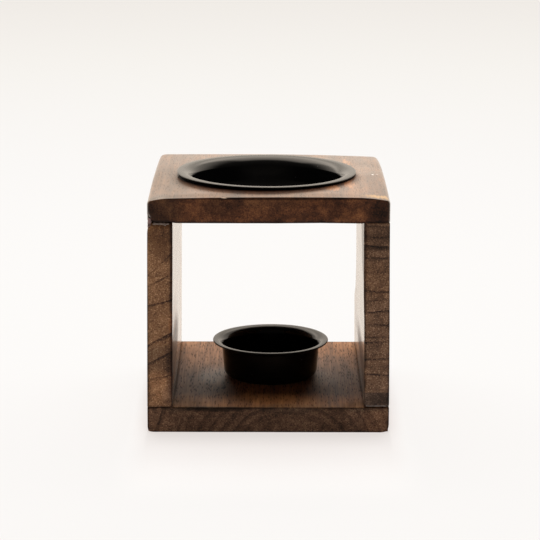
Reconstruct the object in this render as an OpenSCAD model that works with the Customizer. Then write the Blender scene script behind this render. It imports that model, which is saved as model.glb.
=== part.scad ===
// Essential oil burner. Four stained boards make an open frame. A pressed steel bowl for oil and water
// drops into a hole in the top board, and a pressed steel cup for a tealight stands on the base board.
// Sizes are in millimetres. +X is to the right, +Y to the back and +Z up.
// The origin is the middle of the frame's underside.

/* [Frame] */
// Width over the outer faces of the two side boards
frame_w = 100; // [90:0.5:160]
// Depth of all four boards from front to back
frame_d = 103; // [90:0.5:160]
// Height from the underside to the crown of the top board
frame_h = 99.9; // [70:0.1:160]

/* [Boards] */
// Thickness of the base board
base_t = 10.8; // [9:0.1:16]
// Thickness of each side board
side_t = 10.4; // [9:0.1:14]
// Thickness of the top board at its crown
top_t = 10.6; // [9:0.1:16]
// How far each end of the base board stands past the side boards
base_overhang = 0.2; // [0:0.1:3]
// How far each end of the top board stops short of the side boards' outer faces
top_inset = 0.4; // [0:0.1:2]
// Fall of the top board's crown from the middle to each end
crown_fall = 0.9; // [0.2:0.1:2]
// Radius of the top board's upper ends
top_end_r = 2; // [0.5:0.1:4]
// Radius of the top board's upright corners
top_corner_r = 2.5; // [0.5:0.1:6]
// Radius of the base board's lower ends
base_foot_r = 1.2; // [0.3:0.1:4]
// Radius of the other sanded edges
arris_r = 0.5; // [0.2:0.1:1.5]

/* [Sheet metal] */
// Thickness of the pressed steel sheet
sheet_t = 0.7; // [0.4:0.1:1.2]

/* [Oil bowl] */
// Radius of the bowl's flange
bowl_flange_r = 38.2; // [36.5:0.1:42]
// Outer radius of the bowl's wall, carried on to the flange
bowl_wall_r = 32.5; // [24:0.1:33]
// Draft of the bowl's wall in degrees, narrower towards the floor
bowl_draft = 6; // [1:0.5:12]
// Height of the bowl from the outside of its floor to the top of its flange
bowl_h = 16; // [14:0.5:24]
// Radius under the flange, where the wall turns outwards
bowl_shoulder_r = 3; // [2:0.1:3.6]
// Outer radius at the foot, where the wall turns in to the floor
bowl_foot_r = 7; // [2:0.5:8]
// Place of the bowl and its hole across the top board
bowl_x = -1; // [-3:0.1:3]
// Radial gap between the bowl's wall at the flange and the hole in the top board
hole_gap = 1.1; // [0.8:0.1:1.8]
// Gap between the bowl's shoulder and the edge of the hole that it sits on
seat_gap = 0.25; // [0.1:0.05:0.4]

/* [Tealight cup] */
// Radius of the cup's flange
cup_flange_r = 25; // [23.5:0.1:30]
// Outer radius of the cup's wall, carried on to the flange, which clears a standard tealight inside
cup_wall_r = 21.2; // [20:0.1:21.5]
// Draft of the cup's wall in degrees, narrower towards the floor
cup_draft = 4.5; // [1:0.5:8]
// Height of the cup
cup_h = 15.8; // [12:0.1:24]
// Radius under the cup's flange
cup_shoulder_r = 1.5; // [1:0.1:2]
// Outer radius at the cup's foot
cup_foot_r = 3; // [2:0.5:6]
// Place of the cup across the base board
cup_x = 0.9; // [-3:0.1:3]

/* [Dowels] */
// Distance of each dowel and screw from the front or back of the boards
joint_setback = 22; // [10:0.5:35]
// Radius of each dowel
dowel_r = 2.5; // [1.5:0.1:3.5]
// Depth of each dowel in its side board
dowel_in_side = 10; // [6:0.5:14]
// Wood left above each dowel hole, measured from the crown
dowel_cover = 4; // [3:0.1:5]
// Chamfer at the ends of each dowel
dowel_chamfer = 0.6; // [0.2:0.1:1]
// Room for glue around each dowel
glue_gap = 0.05; // [0.02:0.01:0.1]
// Room beyond the ends of each dowel and screw
end_room = 0.4; // [0.2:0.1:0.8]

/* [Screws] */
// Length of each screw from the face of its head to its point
screw_len = 25; // [18:0.5:32]
// Radius of the screw's thread
screw_r = 1.5; // [1:0.1:2]
// Depth of the screw's thread
thread_depth = 0.4; // [0.2:0.1:0.5]
// Distance from one turn of the thread to the next
thread_pitch = 1.4; // [1:0.1:2]
// Length of the plain shank under the head
shank_len = 7; // [4:0.5:10]
// Length of the screw's point
screw_point = 3; // [2:0.5:4]
// Radius of the screw's countersunk head
screw_head_r = 2.9; // [2.5:0.1:4]
// How far each screw's head lies below the underside of the base
screw_sink = 0.3; // [0:0.1:0.8]
// Width of the cross recess in the screw's head
recess_w = 0.8; // [0.5:0.1:1.2]
// Length of the cross recess from tip to tip
recess_len = 4; // [3:0.1:4.6]
// Depth of the cross recess
recess_depth = 1; // [0.6:0.1:1.2]
// Gap between each screw and its hole
screw_gap = 0.05; // [0.02:0.01:0.1]

/* [Hidden] */
$fn = 96;
// Overshoot of a cut past the face that it opens
cut = 1;
// Strips across the top board's crown
crown_steps = 48;

base_w = frame_w + 2 * base_overhang;
top_w = frame_w - 2 * top_inset;
side_h = frame_h - base_t - top_t;
top_z = frame_h - top_t;
side_x = frame_w / 2 - side_t / 2;
joint_y = frame_d / 2 - joint_setback;
hole_r = bowl_wall_r + hole_gap;

// The edge of the hole meets the hollow of the bowl's shoulder, which holds the flange above the wood.
seat_reach = bowl_shoulder_r * (1 / cos(bowl_draft) - tan(bowl_draft)) - hole_gap;
seat_drop = sqrt(pow(bowl_shoulder_r - seat_gap, 2) - pow(seat_reach, 2));
flange_rise = bowl_shoulder_r - seat_drop;
bowl_z = frame_h + flange_rise + sheet_t - bowl_h;

dowel_in_top = top_t - dowel_cover - end_room;
dowel_len = dowel_in_side + dowel_in_top;
screw_cone = screw_head_r - screw_r;
screw_core_r = screw_r - thread_depth;
thread_start = screw_cone + shank_len;
thread_turns = floor((screw_len - thread_start - screw_point) / thread_pitch);

// Height of the top board's upper face above its underside, at x from its middle.
// The ends are rounded off below the crown.
function end_inset(x) = max(0, abs(x) - (top_w / 2 - top_end_r));
function end_fall(x) = top_end_r - sqrt(max(0, pow(top_end_r, 2) - pow(end_inset(x), 2)));
function top_face(x) = top_t - crown_fall * pow(2 * x / top_w, 2) - end_fall(x);

// A point at radius r and the given angle.
function polar(r, angle) = r * [cos(angle), sin(angle)];

// Part of a ring between two angles that are at most a quarter turn apart.
module ring_sector(inner_r, outer_r, from, to) {
    reach = 2 * outer_r;
    intersection() {
        difference() {
            circle(outer_r);
            circle(inner_r);
        }
        polygon([[0, 0], polar(reach, from), polar(reach, (from + to) / 2), polar(reach, to)]);
    }
}

// Rectangle that stands on the X axis, with one radius on its lower corners and one on its upper corners.
module plank_section(w, h, low_r, high_r) {
    translate([-w / 2, low_r])
        square([w, h - low_r - high_r]);
    for (side = [-1, 1]) {
        translate([side * (w / 2 - low_r), low_r])
            circle(low_r);
        translate([side * (w / 2 - high_r), h - high_r])
            circle(high_r);
    }
    translate([low_r - w / 2, 0])
        square([w - 2 * low_r, h / 2]);
    translate([high_r - w / 2, h / 2])
        square([w - 2 * high_r, h / 2]);
}

// Half section of a pressed pan that stands at height 0, with a flat flange at its rim.
// The wall leans outwards by the draft, and runs without a break into the arcs at its foot and shoulder.
module pan_section(flange_r, wall_r, h, draft, shoulder_r, foot_r) {
    flange_z = h - sheet_t;
    shoulder_z = flange_z - shoulder_r;
    foot = [wall_r - (flange_z - foot_r) * tan(draft) - foot_r / cos(draft), foot_r];
    shoulder = [wall_r - shoulder_r * tan(draft) + shoulder_r / cos(draft), shoulder_z];
    lip_r = sheet_t / 2;
    square([foot.x, sheet_t]);
    translate(foot)
        ring_sector(foot_r - sheet_t, foot_r, -90, -draft);
    polygon([
        foot + polar(foot_r, -draft),
        shoulder - polar(shoulder_r, -draft),
        shoulder - polar(shoulder_r + sheet_t, -draft),
        foot + polar(foot_r - sheet_t, -draft)
    ]);
    translate(shoulder)
        ring_sector(shoulder_r, shoulder_r + sheet_t, 90, 180 - draft);
    translate([shoulder.x, flange_z])
        square([flange_r - lip_r - shoulder.x, sheet_t]);
    translate([flange_r - lip_r, flange_z + lip_r])
        circle(lip_r);
}

// Puts a copy of its child at the front and the back fastener of the joint on one side, -1 left or 1 right.
module at_joint(side) {
    for (end = [-1, 1])
        translate([side * side_x, end * joint_y, 0])
            children();
}

// A dowel that joins a side board to the top board.
module dowel() {
    end_r = dowel_r - dowel_chamfer;
    translate([0, 0, top_z - dowel_in_side])
        rotate_extrude()
            polygon([
                [0, 0],
                [end_r, 0],
                [dowel_r, dowel_chamfer],
                [dowel_r, dowel_len - dowel_chamfer],
                [end_r, dowel_len],
                [0, dowel_len]
            ]);
}

// The blind hole for a dowel, in a side board and the top board together.
module dowel_hole() {
    translate([0, 0, top_z - dowel_in_side - end_room])
        cylinder(r = dowel_r + glue_gap, h = dowel_len + 2 * end_room);
}

// A countersunk wood screw, point upwards, with its thread as rings.
module screw() {
    body_end = thread_start + thread_turns * thread_pitch;
    thread = [
        for (turn = [0 : thread_turns - 1], step = [0, 1])
            [
                step == 0 ? screw_core_r : screw_r,
                thread_start + (turn + step / 2) * thread_pitch
            ]
    ];
    translate([0, 0, screw_sink])
        difference() {
            rotate_extrude()
                polygon(concat(
                    [[0, 0], [screw_head_r, 0], [screw_r, screw_cone], [screw_r, thread_start]],
                    thread,
                    [[screw_core_r, body_end], [screw_core_r, screw_len - screw_point], [0, screw_len]]
                ));
            for (turn = [0, 90])
                rotate(turn)
                    translate([-recess_len / 2, -recess_w / 2, -cut])
                        cube([recess_len, recess_w, recess_depth + cut]);
        }
}

// The countersunk hole for a screw, from below the base up into a side board.
module screw_hole() {
    hole_end = screw_sink + screw_len + end_room;
    mouth_r = screw_head_r + screw_gap;
    shank_r = screw_r + screw_gap;
    cone_end = screw_sink + screw_cone;
    rotate_extrude()
        polygon([
            [0, -cut],
            [mouth_r, -cut],
            [mouth_r, screw_sink],
            [shank_r, cone_end],
            [shank_r, hole_end],
            [0, hole_end]
        ]);
}

module base_board() {
    color("#4f3a2c")
        difference() {
            rotate([90, 0, 0])
                linear_extrude(frame_d, center = true)
                    plank_section(base_w, base_t, base_foot_r, arris_r);
            for (side = [-1, 1])
                at_joint(side)
                    screw_hole();
        }
}

module side_board(side) {
    color("#5e4330")
        difference() {
            translate([side * side_x, -frame_d / 2, base_t])
                linear_extrude(side_h)
                    plank_section(side_t, frame_d, arris_r, arris_r);
            at_joint(side) {
                dowel_hole();
                screw_hole();
            }
        }
}

module top_board() {
    across = [for (i = [0 : crown_steps]) -cos(180 * i / crown_steps) * top_w / 2];
    upper_face = [for (x = across) [x, top_face(x)]];
    color("#55402f")
        difference() {
            intersection() {
                translate([0, 0, top_z])
                    rotate([90, 0, 0])
                        linear_extrude(frame_d, center = true)
                            polygon(concat([[top_w / 2, 0], [-top_w / 2, 0]], upper_face));
                translate([0, -frame_d / 2, top_z - cut])
                    linear_extrude(top_t + 2 * cut)
                        plank_section(top_w, frame_d, top_corner_r, top_corner_r);
            }
            translate([bowl_x, 0, top_z - cut])
                cylinder(r = hole_r, h = top_t + 2 * cut);
            for (side = [-1, 1])
                at_joint(side)
                    dowel_hole();
        }
}

module joint_dowels(side) {
    color("burlywood")
        at_joint(side)
            dowel();
}

module joint_screws(side) {
    color("silver")
        at_joint(side)
            screw();
}

module oil_bowl() {
    color("#161616")
        translate([bowl_x, 0, bowl_z])
            rotate_extrude()
                pan_section(bowl_flange_r, bowl_wall_r, bowl_h, bowl_draft, bowl_shoulder_r, bowl_foot_r);
}

module tealight_cup() {
    color("#161616")
        translate([cup_x, 0, base_t])
            rotate_extrude()
                pan_section(cup_flange_r, cup_wall_r, cup_h, cup_draft, cup_shoulder_r, cup_foot_r);
}

base_board();
side_board(-1);  // left_side_board
side_board(1);  // right_side_board
top_board();
joint_dowels(-1);  // top_left_dowels
joint_dowels(1);  // top_right_dowels
joint_screws(-1);  // base_left_screws
joint_screws(1);  // base_right_screws
oil_bowl();
tealight_cup();
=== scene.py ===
"""Looks of an essential oil burner: stained boards, a black steel oil bowl and a black steel tealight cup.

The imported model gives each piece's place and outer size. This script models the visible surfaces, dresses
them in node materials and sets a plain pale stage around them. Lengths are in metres, with +X to the right,
+Y to the back and +Z up.
"""

import logging
import math
from collections.abc import Sequence
from dataclasses import dataclass
from enum import Enum

import bpy
import numpy as np
from mathutils import Matrix, Vector, noise

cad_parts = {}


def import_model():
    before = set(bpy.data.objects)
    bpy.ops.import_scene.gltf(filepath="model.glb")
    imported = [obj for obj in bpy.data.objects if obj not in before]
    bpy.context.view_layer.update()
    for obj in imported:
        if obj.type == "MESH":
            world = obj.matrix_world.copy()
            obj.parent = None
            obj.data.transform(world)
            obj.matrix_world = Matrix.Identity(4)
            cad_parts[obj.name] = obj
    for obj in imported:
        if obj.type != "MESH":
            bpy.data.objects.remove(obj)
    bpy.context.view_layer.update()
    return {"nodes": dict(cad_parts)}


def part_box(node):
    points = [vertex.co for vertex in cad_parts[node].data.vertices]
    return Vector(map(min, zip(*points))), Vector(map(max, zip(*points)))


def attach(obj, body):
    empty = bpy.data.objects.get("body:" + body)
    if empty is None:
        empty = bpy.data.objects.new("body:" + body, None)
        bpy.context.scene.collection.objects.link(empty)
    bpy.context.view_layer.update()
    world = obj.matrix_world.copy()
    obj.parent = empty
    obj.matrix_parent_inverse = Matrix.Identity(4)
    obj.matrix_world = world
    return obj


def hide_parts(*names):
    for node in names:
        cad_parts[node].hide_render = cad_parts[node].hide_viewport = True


LOG = logging.getLogger("oil_burner")
MM = 0.001

Point = tuple[float, float, float]
Colour = tuple[float, float, float]
Pair = tuple[float, float]
Curve = list[Pair]


def mm(x: float, y: float, z: float) -> Point:
    """Turns millimetres into metres."""
    return (x * MM, y * MM, z * MM)


def screen_colour(red: int, green: int, blue: int) -> Colour:
    """Turns a screen's colour, of 0 to 255, into the linear colour of 0 to 1 that shaders use."""
    shares = (channel / 255 for channel in (red, green, blue))
    return tuple(s / 12.92 if s <= 0.04045 else ((s + 0.055) / 1.055) ** 2.4 for s in shares)


@dataclass(frozen=True)
class Box:
    """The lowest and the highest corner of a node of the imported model."""

    low: Vector
    high: Vector

    @classmethod
    def of(cls, node: str) -> "Box":
        """Finds the box of a node."""
        return cls(*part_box(node))

    @property
    def middle(self) -> Vector:
        """The middle of the box."""
        return (self.low + self.high) / 2

    @property
    def half(self) -> Vector:
        """Half the box's size along each axis."""
        return (self.high - self.low) / 2


class Wire:
    """An output socket that takes part in Python expressions, which add Math nodes to its tree."""

    def __init__(self, sheet: "Sheet", socket: bpy.types.NodeSocket) -> None:
        """Wraps one output socket of a sheet's node tree."""
        self.sheet = sheet
        self.socket = socket

    def __add__(self, other: "Operand") -> "Wire":
        """This value plus another."""
        return self.sheet.math("ADD", self, other)

    __radd__ = __add__

    def __sub__(self, other: "Operand") -> "Wire":
        """This value less another."""
        return self.sheet.math("SUBTRACT", self, other)

    def __rsub__(self, other: "Operand") -> "Wire":
        """Another value less this one."""
        return self.sheet.math("SUBTRACT", other, self)

    def __mul__(self, other: "Operand") -> "Wire":
        """This value times another."""
        return self.sheet.math("MULTIPLY", self, other)

    __rmul__ = __mul__

    def __truediv__(self, other: "Operand") -> "Wire":
        """This value divided by another."""
        return self.sheet.math("DIVIDE", self, other)

    def __abs__(self) -> "Wire":
        """This value without its sign."""
        return self.sheet.math("ABSOLUTE", self)

    def sibling(self, output: str) -> "Wire":
        """Another output of the same node."""
        return Wire(self.sheet, self.socket.node.outputs[output])

    def fade(self, start: float, end: float) -> "Wire":
        """Rises smoothly from 0 to 1 as this value goes from start to end.

        Args:
            start: The value that gives 0.
            end: The value that gives 1, which may be the lower one.

        Returns:
            The share, from 0 to 1.
        """
        return self.sheet.node(
            "ShaderNodeMapRange",
            {"interpolation_type": "SMOOTHSTEP"},
            {"Value": self, "From Min": start, "From Max": end},
        )


Operand = Wire | float | int
SocketValue = Wire | float | int | tuple
Spot = tuple[Wire, Wire, Wire]


class Ray(Enum):
    """The kinds of ray that the stage tells apart."""

    CAMERA = "Is Camera Ray"
    GLOSSY = "Is Glossy Ray"
    TRANSMISSION = "Is Transmission Ray"


class Sheet:
    """A node tree of a material or of the world."""

    def __init__(self, owner: bpy.types.Material | bpy.types.World) -> None:
        """Empties the owner's node tree.

        Args:
            owner: The material or the world.
        """
        owner.use_nodes = True
        self.tree = owner.node_tree
        self.tree.nodes.clear()

    def node(
        self,
        kind: str,
        settings: dict | None = None,
        inputs: dict | Sequence | None = None,
        output: int | str = 0,
    ) -> Wire:
        """Adds a node of any type.

        Args:
            kind: The node's type.
            settings: Its properties, set first. A ramp's stops are pairs of a place and a colour.
            inputs: Values or wires for its sockets, by name or in order.
            output: The output that is wanted.

        Returns:
            The wanted output as a wire.
        """
        made = self.tree.nodes.new(kind)
        for name, value in (settings or {}).items():
            if name == "stops":
                self._set_stops(made.color_ramp, value)
            else:
                setattr(made, name, value)
        pairs = inputs.items() if isinstance(inputs, dict) else enumerate(inputs or ())
        for key, value in pairs:
            self._plug(made.inputs[key], value)
        return Wire(self, made.outputs[output])

    def math(self, operation: str, *operands: Operand) -> Wire:
        """Adds a Math node, with its inputs in order."""
        return self.node("ShaderNodeMath", {"operation": operation}, operands)

    def mix(self, share: Operand, first: SocketValue, second: SocketValue, blend: str = "MIX") -> Wire:
        """Mixes two colours.

        Args:
            share: How much of the second colour, from 0 to 1.
            first: The colour at 0.
            second: The colour at 1.
            blend: How the second colour is laid on the first.

        Returns:
            The mixed colour.
        """
        factor, colour_a, colour_b, result = 0, 6, 7, 2
        return self.node(
            "ShaderNodeMix",
            {"data_type": "RGBA", "blend_type": blend},
            {factor: share, colour_a: first, colour_b: second},
            result,
        )

    def split(self, vector: Wire) -> Spot:
        """Splits a vector into its three parts."""
        first = self.node("ShaderNodeSeparateXYZ", None, [vector], "X")
        return first, first.sibling("Y"), first.sibling("Z")

    def stretch(self, vector: Wire, scale: Point, shift: float) -> Wire:
        """Scales a place along each axis and shifts it, so that a texture has its own stretch and start."""
        shifts = (shift, shift, shift)
        return self.node("ShaderNodeVectorMath", {"operation": "MULTIPLY_ADD"}, (vector, scale, shifts))

    def noise(self, vector: Wire, detail: float, rough: float = 0.5, output: str = "Fac") -> Wire:
        """Adds a noise of unit scale about 0.5, with finer layers, as a value or as a colour."""
        inputs = {"Vector": vector, "Scale": 1.0, "Detail": detail, "Roughness": rough}
        return self.node("ShaderNodeTexNoise", None, inputs, output)

    def cells(self, vector: Wire, scale: Point, shift: float) -> tuple[Wire, Wire]:
        """Fills space with cells of uneven shape.

        Args:
            vector: The place.
            scale: The cells' number in a metre along each axis.
            shift: The start of the pattern.

        Returns:
            The distance from the middle of a cell, and the cell's own chance from 0 to 1.
        """
        inputs = {"Vector": self.stretch(vector, scale, shift), "Scale": 1.0}
        distance = self.node("ShaderNodeTexVoronoi", None, inputs, "Distance")
        return distance, self.split(distance.sibling("Color"))[0]

    def bump(self, height: Wire, strength: float, distance: float) -> Wire:
        """Turns a height into a normal."""
        inputs = {"Strength": strength, "Distance": distance, "Height": height}
        return self.node("ShaderNodeBump", None, inputs)

    def rays(self) -> Spot:
        """Tells the kinds of ray apart, in the order of Ray."""
        first = self.node("ShaderNodeLightPath")
        return tuple(first.sibling(ray.value) for ray in Ray)

    def principled(self, **values: SocketValue) -> Wire:
        """Adds the main shader, with its sockets by name and underscores for spaces."""
        named = {name.replace("_", " "): value for name, value in values.items()}
        return self.node("ShaderNodeBsdfPrincipled", None, named)

    def end(self, shader: Wire, kind: str = "ShaderNodeOutputMaterial") -> None:
        """Ends the tree in a shader, at an output node of a kind."""
        last = self.tree.nodes.new(kind)
        self.tree.links.new(shader.socket, last.inputs["Surface"])

    def _plug(self, socket: bpy.types.NodeSocket, value: SocketValue) -> None:
        """Links a wire to a socket, or sets the socket's own value.

        Args:
            socket: The input socket.
            value: The wire or the value.
        """
        if isinstance(value, Wire):
            self.tree.links.new(value.socket, socket)
        elif socket.type == "RGBA":
            socket.default_value = (*value, 1.0)
        else:
            socket.default_value = value

    @staticmethod
    def _set_stops(ramp: bpy.types.ColorRamp, stops: Sequence[tuple[float, Colour]]) -> None:
        """Gives a ramp its stops.

        Args:
            ramp: The ramp, which has two stops at first.
            stops: The place and the colour of each, from first to last.
        """
        while len(ramp.elements) < len(stops):
            ramp.elements.new(1.0)
        for element, (place, colour) in zip(ramp.elements, stops):
            element.position = place
            element.color = (*colour, 1.0)


def new_finish(name: str) -> tuple[bpy.types.Material, Sheet, Wire]:
    """Starts a material.

    Args:
        name: The material's name.

    Returns:
        The material, its empty nodes, and the place on the piece.
    """
    material = bpy.data.materials.new(name)
    sheet = Sheet(material)
    return material, sheet, sheet.node("ShaderNodeTexCoord", output="Object")


@dataclass(frozen=True)
class Layer:
    """A layer of noise that is stretched along each axis and has its own start."""

    scale: Point
    shift: float = 0.0
    detail: float = 3.0
    rough: float = 0.6

    def read(self, sheet: Sheet, place: Wire, seed: float = 0.0, output: str = "Fac") -> Wire:
        """Reads the noise at a place, shifted by the piece's seed, as a value or as a colour."""
        spot = sheet.stretch(place, self.scale, seed + self.shift)
        return sheet.noise(spot, self.detail, self.rough, output)


WARP = Layer((55, 7, 55))
FIBRE = Layer((1700, 30, 1700), 3, rough=0.65)
BLOTCH = Layer((95, 26, 95), 7, 4, 0.62)
STREAK = Layer((520, 6, 520), 19)
MOTTLE = Layer((330, 40, 330), 13, 4, 0.75)
RIPPLE = Layer((20, 420, 20), 17)
PEEL = Layer((2600, 2600, 2600), detail=2, rough=0.5)
MARKS = Layer((90, 90, 90), 5, 4)


@dataclass(frozen=True)
class GrainLine:
    """A growth line that stands out by itself, with its height at the middle of the board."""

    height: float
    tilt: float
    width: float
    depth: float


class Cover(Enum):
    """How a patch changes the colour under it."""

    STAIN = "MULTIPLY"
    PAINT = "MIX"


@dataclass(frozen=True)
class Patch:
    """A tinted or painted place on a board, with its lacquer worn, or thickened where worn is below 0."""

    centre: Point
    reach: Point
    tint: Colour
    worn: float = 0.0
    ragged: float = 1.2
    soft: float = 0.65
    cover: Cover = Cover.STAIN
    broken: float = 0.0
    border: float = 1.15


@dataclass(frozen=True)
class Stain:
    """The tones that one stain takes in dense, common and open wood."""

    dark: Colour
    middle: Colour
    light: Colour

    def over(self, sheet: Sheet, tone: Wire) -> Wire:
        """Colours a tone, from 0 for dense wood to 1 for open wood."""
        stops = ((0.0, self.dark), (0.5, self.middle), (1.0, self.light))
        return sheet.node("ShaderNodeValToRGB", {"stops": stops}, [tone])


@dataclass(frozen=True)
class Wood:
    """The grain, stain and lacquer of one board, whose fibres run from front to back."""

    name: str
    heart: Pair
    ring: float
    ends: Stain
    faces: Stain
    seed: float
    ring_depth: float = 0.25
    ring_warp: float = 5 * MM
    ring_pace: float = 0.8
    ring_sway: float = 1.4
    ring_start: Pair = (0.3, 0.9)
    ring_end: Pair = (1.0, 0.93)
    ring_least: float = 0.15
    line_warp: float = 2.2 * MM
    line_break: Pair = (0.35, 0.6)
    line_least: float = 0.25
    face_rings: float = 1.0
    end_turn: Pair = (0.45, 0.8)
    pore_gap: float = 0.5 * MM
    pore_depth: float = 0.3
    pore_length: float = 9.0
    pore_size: Pair = (0.55, 0.2)
    pore_share: Pair = (0.5, 0.6)
    speck_gap: float = 0.62 * MM
    speck: float = 0.3
    blotch: float = 0.9
    mottle: float = 0.7
    grit: float = 0.9
    streak: float = 0.5
    sheen: float = 0.5
    open_grain: float = 0.0
    lacquer: float = 0.95
    end_lacquer: float = 0.05
    lacquer_rough: float = 0.12
    rough: float = 0.3
    end_rough: float = 0.55
    blotch_rough: float = 0.16
    pore_rough: float = 0.1
    worn_rough: float = 0.4
    gloss: float = 0.15
    # Stain gathered at the edges, and painted shade where the rounded edges look dark.
    edge_stain_and_shade: Colour = (0.2, 0.17, 0.15)
    edge_depth: float = 0.8
    edge_band: Pair = (1.1 * MM, 0.1 * MM)
    edge_sway: float = 2 * MM
    relief: float = 0.12 * MM
    lines: tuple[GrainLine, ...] = ()
    patches: tuple[Patch, ...] = ()

    def material(self, box: Box) -> bpy.types.Material:
        """Makes the material of one board.

        Args:
            box: The board's box.

        Returns:
            The material.
        """
        material, sheet, place = new_finish(self.name)
        spot = x, _, z = sheet.split(place)
        end = abs(sheet.split(place.sibling("Normal"))[1]).fade(*self.end_turn)
        warp = sheet.split(WARP.read(sheet, place, self.seed, "Color"))
        shift = shift_x, shift_z = warp[0] - 0.5, warp[2] - 0.5
        rings = self._rings(sheet, x + shift_x * self.ring_warp, z + shift_z * self.ring_warp)
        pore, speck = (self._pores(sheet, place, gap) for gap in (self.pore_gap, self.speck_gap))
        fibre, blotch, streak, mottle, ripple = (
            layer.read(sheet, place, self.seed) for layer in (FIBRE, BLOTCH, STREAK, MOTTLE, RIPPLE)
        )
        lines = self._lines(x - box.middle.x, z + shift_z * self.line_warp)
        lines = lines * (mottle.fade(*self.line_break) * (1 - self.line_least) + self.line_least)
        tone = (
            0.5
            + (blotch - 0.5) * self.blotch
            + (mottle - 0.5) * self.mottle
            + (streak - 0.5) * (1 - end) * self.streak
            + (fibre - 0.5) * self.grit
            - (rings * (end * (1 - self.face_rings) + self.face_rings) * self.ring_depth + lines)
            - pore * self.pore_depth
            + speck * end * self.speck
        )
        colour = sheet.mix(end, self.faces.over(sheet, tone), self.ends.over(sheet, tone))
        lacquer = end * (self.end_lacquer - self.lacquer) + self.lacquer
        lacquer = lacquer * ((ripple - 0.5 + streak - 0.5) * self.sheen + 1.0)
        if self.open_grain:
            lacquer = lacquer * ((fibre - 0.5 - pore) * self.open_grain + 1.0)
        rough = end * (self.end_rough - self.rough) + self.rough
        rough = rough + (blotch - 0.5) * self.blotch_rough + pore * self.pore_rough
        # Patches lay on stain and wear, and in places painted light and shade and painted highlights.
        for patch in self.patches:
            mask = self._cover(sheet, spot, shift, mottle, patch)
            colour = sheet.mix(mask, colour, patch.tint, patch.cover.value)
            if patch.worn:
                lacquer = lacquer * (1 - mask * patch.worn)
                rough = rough + mask * (patch.worn * self.worn_rough)
        edge = self._edge(sheet, spot, blotch, box) * self.edge_depth
        height = fibre * 0.2 - pore * 0.5 - lines * 0.3 - rings * 0.15
        sheet.end(
            sheet.principled(
                Base_Color=sheet.mix(edge, colour, self.edge_stain_and_shade, "MULTIPLY"),
                Roughness=rough,
                Specular_IOR_Level=self.gloss,
                Coat_Weight=lacquer,
                Coat_Roughness=self.lacquer_rough,
                Normal=sheet.bump(height, 0.5, self.relief),
            )
        )
        return material

    def _rings(self, sheet: Sheet, x: Wire, z: Wire) -> Wire:
        """Draws the dark late wood of the growth rings.

        Args:
            sheet: The material's nodes.
            x: The place across the board, warped.
            z: The place up the board, warped.

        Returns:
            1 on a ring's dark line and 0 between lines.
        """
        across, up = x - self.heart[0], z - self.heart[1]
        turn = sheet.math("SQRT", across * across + up * up) / self.ring
        count = sheet.node("ShaderNodeCombineXYZ", None, {"X": turn * self.ring_pace + self.seed})
        turn = turn + (sheet.noise(count, 1) - 0.5) * self.ring_sway
        part = sheet.math("FRACT", turn)
        chance = {"W": sheet.math("FLOOR", turn)}
        strength = sheet.node("ShaderNodeTexWhiteNoise", {"noise_dimensions": "1D"}, chance, "Value")
        strength = self.ring_least + (1 - self.ring_least) * strength
        return part.fade(*self.ring_start) * part.fade(*self.ring_end) * strength

    def _lines(self, x: Wire, z: Wire) -> Wire | float:
        """Draws the board's own growth lines, dark on one side of each and soft on the other.

        Args:
            x: The place across the board, from its middle.
            z: The place up the board, warped.

        Returns:
            The depth of the lines.
        """
        total: Wire | float = 0.0
        for line in self.lines:
            above = z - x * math.tan(math.radians(line.tilt)) - line.height
            total = above.fade(-3 * line.width, 0.0) * above.fade(0.7 * line.width, 0.0) * line.depth + total
        return total

    def _pores(self, sheet: Sheet, place: Wire, gap: float) -> Wire:
        """Scatters open pores, which are dots on end grain and dashes along the board.

        Args:
            sheet: The material's nodes.
            place: The place on the board.
            gap: The distance between pores across the fibres.

        Returns:
            1 in a pore and 0 elsewhere.
        """
        scale = (1 / gap, 1 / (self.pore_length * gap), 1 / gap)
        distance, chance = sheet.cells(place, scale, self.seed + 100 * gap / MM)
        return distance.fade(*self.pore_size) * chance.fade(*self.pore_share)

    @staticmethod
    def _cover(sheet: Sheet, spot: Spot, shift: tuple[Wire, Wire], mottle: Wire, patch: Patch) -> Wire:
        """Finds how far a patch covers a place, with a ragged border.

        Args:
            sheet: The material's nodes.
            spot: The place on the board along each axis.
            shift: The warp across and up the board.
            mottle: The noise that breaks a patch up.
            patch: The patch.

        Returns:
            The patch's cover, from 0 to 1.
        """
        sways = (shift[0], shift[1], shift[1])
        a, b, c = (
            (at - centre) / reach + sway * patch.ragged
            for at, centre, reach, sway in zip(spot, patch.centre, patch.reach, sways)
        )
        away = sheet.math("SQRT", a * a + b * b + c * c)
        if patch.broken:
            away = away + (mottle - 0.5) * patch.broken
        return away.fade(patch.border, patch.border - patch.soft)

    def _edge(self, sheet: Sheet, spot: Spot, blotch: Wire, box: Box) -> Wire:
        """Finds the dark band along the board's edges: stain gathered there, and painted shade on their
        rounding.

        Args:
            sheet: The material's nodes.
            spot: The place on the board along each axis.
            blotch: The noise that makes the band uneven.
            box: The board's box.

        Returns:
            The strength of the dark band, from 0 to 1.
        """
        a, b, c = (half - abs(at - middle) for half, at, middle in zip(box.half, spot, box.middle))
        least, most = sheet.math("MINIMUM", a, b), sheet.math("MAXIMUM", a, b)
        to_edge = sheet.math("MAXIMUM", least, sheet.math("MINIMUM", most, c))
        return (to_edge + (blotch - 0.5) * self.edge_sway).fade(*self.edge_band)


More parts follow.
